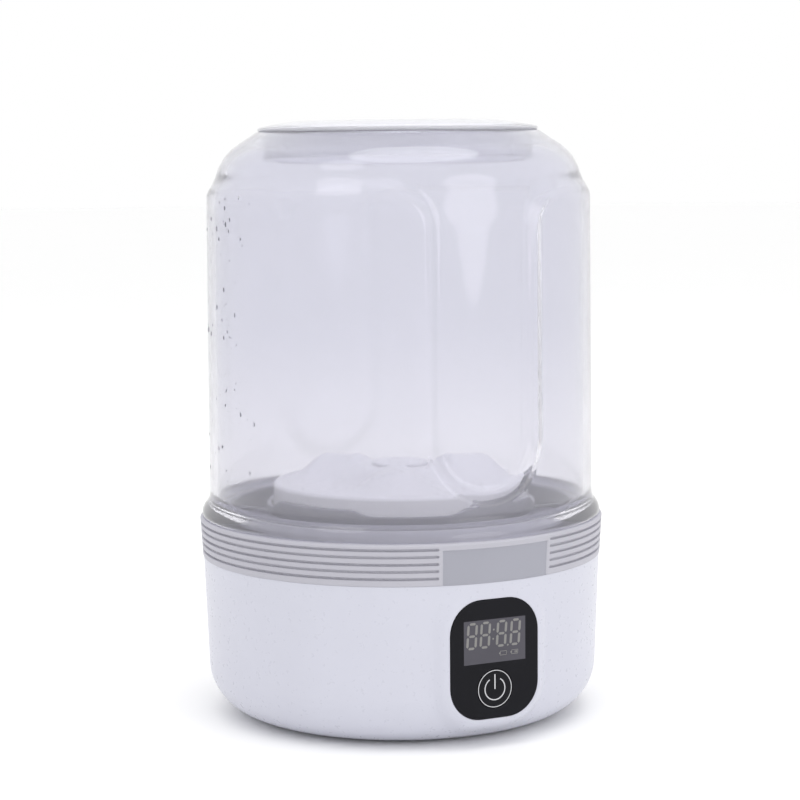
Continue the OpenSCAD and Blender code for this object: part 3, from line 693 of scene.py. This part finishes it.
def flange_outline():
    """Skirt that drops into the base, and the rolled flange that rests on the collar."""
    z = collar_top + 0.1 * MM
    skirt_in, skirt_out = 54.3 * MM, 56 * MM
    skirt = [(skirt_in, vessel_low), (skirt_out - 0.3 * MM, vessel_low), (skirt_out, vessel_low + 0.3 * MM)]
    roll = [(collar_r - 1.15 * MM, z), (collar_r - 0.8 * MM, z + 0.15 * MM),
            (collar_r - 0.66 * MM, z + 0.6 * MM), (collar_r - 0.68 * MM, z + 1.1 * MM),
            (collar_r - 0.85 * MM, z + 1.8 * MM),
            (collar_r - 1.15 * MM, z + 2.5 * MM), (collar_r - 1.55 * MM, z + 3.2 * MM),
            (collar_r - 2.05 * MM, z + 3.9 * MM), (collar_r - 2.5 * MM, z + 4.6 * MM),
            (collar_r - 2.82 * MM, z + 5.4 * MM), (collar_r - 2.96 * MM, z + 6.1 * MM)]
    pitch = 1.2 * MM
    across = spread([(skirt_out, z), roll[0]], pitch)[1:-1]
    return spread(skirt + [(skirt_out, z)], pitch) + across + roll


def flute_angles():
    """Angles round the vessel, close together across the flutes and their edges."""
    out, a = [], -math.pi
    while a < math.pi - 1e-6:
        out.append(a)
        near = abs(wrap(FLUTES * (a - FRONT)) / FLUTES) < math.radians(24)
        a += math.radians(0.3 if near else 1.2)
    return out


def vessel():
    outer = wall_outline(0, 41.6 * MM)
    inner = wall_outline(VESSEL_WALL, 40.2 * MM)
    rim_z = outer[-1][1]
    lip = [(41.2 * MM, rim_z + 0.1 * MM), (40.6 * MM, rim_z + 0.1 * MM), (40.2 * MM, rim_z - 0.3 * MM)]
    inside_low = [(54.3 * MM, 64.5 * MM), (54.3 * MM, vessel_low + 0.2 * MM)]
    rows = flange_outline() + outer + lip + inner[::-1] + spread(inside_low, 1.4 * MM)
    angles = flute_angles()
    verts = []
    for r, z in rows:
        for a in angles:
            rr = r + (bulge(a, z) if r > 48 * MM else 0.0)
            verts.append((rr * math.cos(a), rr * math.sin(a), z))
    jar = new_object("clear_vessel", verts, grid_faces(len(rows), len(angles)), 50)
    return dress(jar, "vessel", "vessel_clear", "vessel")


LUG_HALF = math.radians(5)
LUG_IN_R, LUG_OUT_R = 55.9 * MM, 57.1 * MM
LUG_LOW_Z, LUG_HIGH_Z = 54.0 * MM, 55.6 * MM


def bayonet_lugs():
    """Four lugs on the vessel's skirt."""
    lugs = []
    for k in range(4):
        at = math.radians(45 + 90 * k)
        outline = []
        for r, span in ((LUG_IN_R, (-1, 1)), (LUG_OUT_R, (1, -1))):
            outline += [(r, at + LUG_HALF * (span[0] + (span[1] - span[0]) * i / 8)) for i in range(9)]
        m = len(outline)
        verts = [(r * math.cos(a), r * math.sin(a), z) for z in (LUG_LOW_Z, LUG_HIGH_Z) for r, a in outline]
        faces = [list(range(m - 1, -1, -1)), list(range(m, 2 * m))]
        faces += [(i, (i + 1) % m, (i + 1) % m + m, i + m) for i in range(m)]
        lugs.append(bevelled(new_object("lug", verts, faces), 0.15 * MM))
    return dress(joined("vessel_lugs", lugs), "vessel", "vessel_clear")


def lid():
    """Clear plug lid: a low crown, a thin flange and a skirt that hangs into the mouth."""
    flange_low = lid_top - 3.1 * MM
    edge = arc(lid_r - 0.6 * MM, flange_low + 0.6 * MM, 0.6 * MM, -90, 75, 8)
    crown = [(lid_r - 1.6 * MM, lid_top - 1.6 * MM), (37 * MM, lid_top - 1.1 * MM),
             (33.5 * MM, lid_top - 0.55 * MM), (31 * MM, lid_top - 0.22 * MM), (29 * MM, lid_top - 0.05 * MM),
             (27 * MM, lid_top), (12 * MM, lid_top), (0.01 * MM, lid_top)]
    inside = [(0.01 * MM, lid_top - 2 * MM), (12 * MM, lid_top - 2 * MM), (28 * MM, lid_top - 2 * MM)]
    inside += arc(36.2 * MM, lid_top - 4.6 * MM, 1.3 * MM, 75, 0, 6)
    skirt_r = 39.9 * MM
    groove_top, groove_low = high("lid_seal").z + 0.05 * MM, low("lid_seal").z - 0.05 * MM
    skirt = [(37.5 * MM, lid_low + 0.4 * MM)]
    skirt += arc(38.2 * MM, lid_low + 0.7 * MM, 0.7 * MM, 180, 270, 4)
    skirt += arc(skirt_r - 0.7 * MM, lid_low + 0.7 * MM, 0.7 * MM, 270, 360, 4)
    skirt += [(skirt_r, groove_low), (38.9 * MM, groove_low), (38.9 * MM, groove_top), (skirt_r, groove_top),
              (skirt_r, flange_low)]
    rows = edge + crown + inside + skirt
    obj = turned("plug_lid", rows, full_circle(192), smooth_angle=40)
    return dress(obj, "lid", "vessel_clear", "vessel_lid", material=LID_CLEAR)


# ---------------------------------------------------------------- wet parts

LOBES = 3
RIM_Z = 69 * MM
SEAT_Z = RIM_Z + 4.4 * MM
SEAT_R = 8.8 * MM


def lobe_height(rho, angle):
    """Height of the smooth lobes over the dish at radius rho."""
    off = wrap(LOBES * angle) / LOBES
    across = rho * math.sin(off)
    width = 6.2 * MM + 0.16 * rho
    along = smooth(36 * MM, 27 * MM, rho)
    crest = 7.4 * MM - 0.02 * rho
    return crest * along * math.exp(-(abs(across) / width) ** 2.4)


def top_height(rho, angle):
    """The disc's upper surface: a dish, the seat of the cap, and lobes that run out from it."""
    dish = RIM_Z - 0.4 * MM - 0.8 * MM * smooth(36 * MM, 24 * MM, rho)
    seat = (SEAT_Z - RIM_Z + 1.2 * MM) * smooth(21 * MM, SEAT_R + 1.5 * MM, rho)
    lobe = lobe_height(rho, angle) * smooth(SEAT_R, SEAT_R + 8 * MM, rho)
    return dish + max(seat, lobe) + 0.25 * min(seat, lobe)


def agitator():
    """White disc with a rolled rim, a shallow dish and smooth lobes that run into the hub."""
    roll = 1.3 * MM
    rim = arc(disc_r - roll, RIM_Z - roll, roll, -10, 110, 8)
    steps = 40
    inner_r = disc_r - 2.2 * MM
    dish_r = [inner_r - (inner_r - SEAT_R - 0.3 * MM) * i / steps for i in range(steps + 1)]
    dish = [(r, RIM_Z) for r in dish_r]
    pin = 3.05 * MM
    hub = [(SEAT_R, SEAT_Z), (pin, SEAT_Z), (pin, SEAT_Z - 2.4 * MM), (0.02 * MM, SEAT_Z - 2.4 * MM)]
    plate_z = RIM_Z - 4.4 * MM
    socket_r, socket_top = 5.4 * MM, high("drive_coupling").z + 0.6 * MM
    under = [(0.02 * MM, socket_top), (socket_r, socket_top), (socket_r, disc_low), (9 * MM, disc_low),
             (9 * MM, plate_z), (inner_r, plate_z), (inner_r, RIM_Z - 7 * MM),
             (disc_r - 0.3 * MM, RIM_Z - 7 * MM), (disc_r, RIM_Z - 6.7 * MM)]

    def lifted(r, z, angle):
        return (r, top_height(r, angle)) if z == RIM_Z and r <= dish_r[0] else (r, z)

    obj = turned("agitator_plate", rim + dish + hub + under, full_circle(288), lifted, smooth_angle=40)
    return dress(obj, "agitator", "agitator_white", "agitator_disc")


def agitator_cap():
    top = high("agitator_cap").z
    base = SEAT_Z + 0.02 * MM
    pin = 2.95 * MM
    rows = [(0.02 * MM, base - 1.9 * MM), (pin, base - 1.9 * MM), (pin, base), (8.4 * MM, base)]
    rows += arc(8.0 * MM, base + 0.5 * MM, 0.5 * MM, -45, 60, 5)
    rows += [(r * MM, top - 0.75 * MM * (r / 8.0) ** 2.2) for r in (7.6, 6.5, 5, 3.4, 1.8, 0.02)]
    obj = turned("agitator_hub_cap", rows, full_circle(96), smooth_angle=40)
    return dress(obj, "agitator", "agitator_white", "agitator_cap")


NOTCH_AT = math.radians(-112)
NOTCH_HALF = math.radians(20)
NOTCH_SOFT = math.radians(6)


def guard_ring():
    """Low wall round the agitator with four soft-cornered dips."""
    dip = 2.6 * MM
    r_in, r_out = 38.6 * MM, 40 * MM

    def dipped(r, z, angle):
        off = abs(wrap(4 * (angle - NOTCH_AT)) / 4)
        amount = 1 - smooth(NOTCH_HALF - NOTCH_SOFT, NOTCH_HALF + NOTCH_SOFT, off)
        height = (z - guard_low) / (guard_top - guard_low)
        return (r, z - dip * amount * smooth(0.5, 0.9, height))

    wall = spread([(r_out, guard_low + 1.3 * MM), (r_out, guard_top - 0.35 * MM)], 1.0 * MM)
    rows = [(r_in, guard_low), (r_out + 1.4 * MM, guard_low), (r_out + 1.4 * MM, guard_low + 1.0 * MM),
            (r_out + 0.3 * MM, guard_low + 1.2 * MM)] + wall
    rows += arc(r_out - 0.35 * MM, guard_top - 0.35 * MM, 0.35 * MM, 20, 90, 3)
    rows += arc(r_in + 0.35 * MM, guard_top - 0.35 * MM, 0.35 * MM, 90, 180, 3)
    rows += spread([(r_in, guard_top - 0.5 * MM), (r_in, guard_low + 0.8 * MM)], 1.0 * MM)
    obj = turned("guard_wall", rows, full_circle(288), dipped, smooth_angle=45)
    return dress(obj, "base", "basin_grey", "guard_ring")


# ---------------------------------------------------------------- panel, display and button

SKIN = 0.03 * MM
WINDOW_HALF_W, WINDOW_HALF_H = 9.7 * MM, 6.15 * MM


def panel():
    """Black panel with a softened edge and a round hole for the button."""
    depth = panel_thick
    obj = prism("control_panel", rounded_outline(panel_half_w, panel_half_h, PANEL_CORNER, 16), depth,
                (0, -panel_front, panel_centre_z))
    hole = prism("hole", ring_outline(5.52 * MM, 96), 6 * MM, (0, -panel_front - 2 * MM, button_z))
    return dress(bevelled(cut(obj, [hole]), 0.25 * MM, 3), "base", "panel_black", "display_panel")


def display_window():
    obj = prism("display_window", rounded_outline(WINDOW_HALF_W, WINDOW_HALF_H, 0.15 * MM, 3), 0.3 * MM,
                (0, -panel_front - SKIN, window_z))
    return dress(obj, "base", "panel_black", material=WINDOW)


def segment(cx, cz, length, width, upright, inward=0.0):
    """One display bar with pointed ends; inward thickens its middle."""
    h, w = length / 2, width / 2
    outline = [(-h, 0), (-h + w, w + inward), (h - w, w + inward), (h, 0), (h - w, -w), (-h + w, -w)]
    if upright:
        outline = [(z, x) for x, z in outline][::-1]
    return [(cx + x, cz + z) for x, z in outline]


def digit(cx, cz):
    """Seven bars of an unlit digit."""
    bars = []
    reach_x, reach_z = 1.28 * MM, 1.72 * MM
    for row in (-1, 0, 1):
        bars.append(segment(cx, cz + row * 2 * reach_z, 1.95 * MM, 0.66 * MM, False))
    for sx in (-1, 1):
        for sz in (-1, 1):
            bars.append(segment(cx + sx * reach_x, cz + sz * reach_z, 3.0 * MM, 0.72 * MM, True))
    return bars


def box_outline(x0, z0, x1, z1):
    return [(x0, z0), (x1, z0), (x1, z1), (x0, z1)]


def battery_mark(cx, cz, bars):
    """Small outline of a cell with a nub, and bars inside it."""
    w, h, line = 1.05 * MM, 0.62 * MM, 0.13 * MM
    out = [box_outline(cx - w, cz - h, cx + w, cz - h + line),
           box_outline(cx - w, cz + h - line, cx + w, cz + h),
           box_outline(cx + w - line, cz - h, cx + w, cz + h),
           box_outline(cx - w, cz - h, cx - w + line, cz + h),
           box_outline(cx - w - 0.3 * MM, cz - 0.22 * MM, cx - w, cz + 0.22 * MM)]
    for k in range(bars):
        x = cx + w - (0.55 + 0.5 * k) * MM
        out.append(box_outline(x, cz - 0.35 * MM, x + 0.26 * MM, cz + 0.35 * MM))
    return out


DIGIT_SLANT = 0.07


def display_segments():
    """Four unlit digits, a colon, a point and two charge marks on the window."""
    top = window_z + 1.85 * MM
    shapes = []
    for cx in (-7.15, -3.0, 2.15, 6.5):
        shapes += digit(cx * MM, top)
    for dz in (-1.3, 1.3):
        shapes.append([(x - 0.42 * MM, top + dz * MM + z) for x, z in ring_outline(0.26 * MM, 12)])
    shapes.append([(4.35 * MM + x, top - 3.45 * MM + z) for x, z in ring_outline(0.26 * MM, 12)])
    shapes += battery_mark(3.1 * MM, window_z - 3.75 * MM, 0)
    shapes += battery_mark(6.7 * MM, window_z - 3.75 * MM, 2)
    plates = []
    for k, shape in enumerate(shapes):
        leaned = [(x + (z - top) * DIGIT_SLANT, z) for x, z in shape]
        if sum(a[0] * b[1] - b[0] * a[1] for a, b in zip(leaned, leaned[1:] + leaned[:1])) < 0:
            leaned.reverse()
        plates.append(prism(f"bar_{k}", leaned, 0.1 * MM, (0, -panel_front - 2 * SKIN, 0)))
    return dress(joined("display_segments", plates), "base", "panel_black", material=SEGMENT)


def power_button():
    """Button cap with a softened face edge, its flange and its stem."""
    y0 = -panel_front
    rows = [(0.02, 0.0), (5.1, 0.0), (5.28, 0.03), (5.37, 0.12), (5.4, 0.3), (5.4, 1.68),
            (5.95, 1.7), (5.95, 2.7), (1.6, 2.7), (1.6, 4.1), (1.45, 4.28), (0.02, 4.3)]
    obj = turned("button_cap", [(r * MM, y * MM) for r, y in rows], full_circle(96), smooth_angle=40)
    obj.data.transform(Matrix.Translation((0, y0, button_z)) @ Matrix.Rotation(math.radians(-90), 4, "X"))
    obj.data.flip_normals()
    return dress(obj, "button", "button_black", "power_button")


def band(r_mid, width, start, end, steps):
    """Outline of part of a ring line, counter-clockwise, angles in degrees."""
    outer = arc(0, 0, r_mid + width / 2, start, end, steps)
    inner = arc(0, 0, r_mid - width / 2, end, start, steps)
    return outer + inner


def button_marks():
    """Printed ring and power symbol on the button's cap."""
    marks = []
    pieces = [band(5.2 * MM, 0.2 * MM, 0, 180, 40), band(5.2 * MM, 0.2 * MM, 180, 360, 40),
              band(3.15 * MM, 0.30 * MM, 122, 418, 48)]
    stem = [(-0.17 * MM, -0.1 * MM), (0.17 * MM, -0.1 * MM), (0.17 * MM, 4.1 * MM), (-0.17 * MM, 4.1 * MM)]
    for k, outline in enumerate(pieces + [stem]):
        marks.append(prism(f"mark_{k}", outline, 0.06 * MM, (0, -panel_front - SKIN, button_z)))
    return dress(joined("button_marks", marks), "button", "button_black", material=MARK)


# ---------------------------------------------------------------- water drops

DROP_SEED = 7
DROP_TRIES = 120
DROP_BULGE = 0.55


def water_drops():
    """Small beads of water on the outside of the vessel's left side, let 0.05 mm into its wall."""
    rng = random.Random(DROP_SEED)
    verts, faces = [], []
    rings, around = 4, 10
    for _ in range(DROP_TRIES):
        a = math.radians(rng.gauss(180, 9))
        z = (70 + 92 * rng.random()) * MM
        size = (0.16 + 0.45 * rng.random() ** 3) * MM
        tall = 1.0 + 0.6 * rng.random()
        if 0.02 < raised_amount(a, z) < 0.98:
            continue
        r = core_r(z, 0.0) + bulge(a, z) - 0.05 * MM
        out = Vector((math.cos(a), math.sin(a), 0))
        side = Vector((-math.sin(a), math.cos(a), 0))
        up = Vector((0, 0, 1))
        centre = out * r + up * z
        start = len(verts)
        for j in range(rings):
            lat = math.pi / 2 * j / rings
            for i in range(around):
                t = 2 * math.pi * i / around
                off = side * math.cos(t) + up * math.sin(t) * tall
                verts.append(centre + off * size * math.cos(lat) + out * size * DROP_BULGE * math.sin(lat))
        verts.append(centre + out * size * DROP_BULGE)
        for j in range(rings - 1):
            for i in range(around):
                i2 = (i + 1) % around
                faces.append((start + j * around + i, start + j * around + i2,
                              start + (j + 1) * around + i2, start + (j + 1) * around + i))
        tip = len(verts) - 1
        last = start + (rings - 1) * around
        faces += [(last + i, last + (i + 1) % around, tip) for i in range(around)]
        faces.append([start + i for i in range(around - 1, -1, -1)])
    obj = new_object("water_drops", verts, faces, 80)
    return dress(obj, "vessel", "vessel_clear", material=WATER)


# ---------------------------------------------------------------- build

make_camera()
make_studio()
dress_cad_nodes()
base_shell()
grip_collar()
vessel()
bayonet_lugs()
lid()
agitator()
agitator_cap()
guard_ring()
panel()
display_window()
display_segments()
power_button()
button_marks()
water_drops()
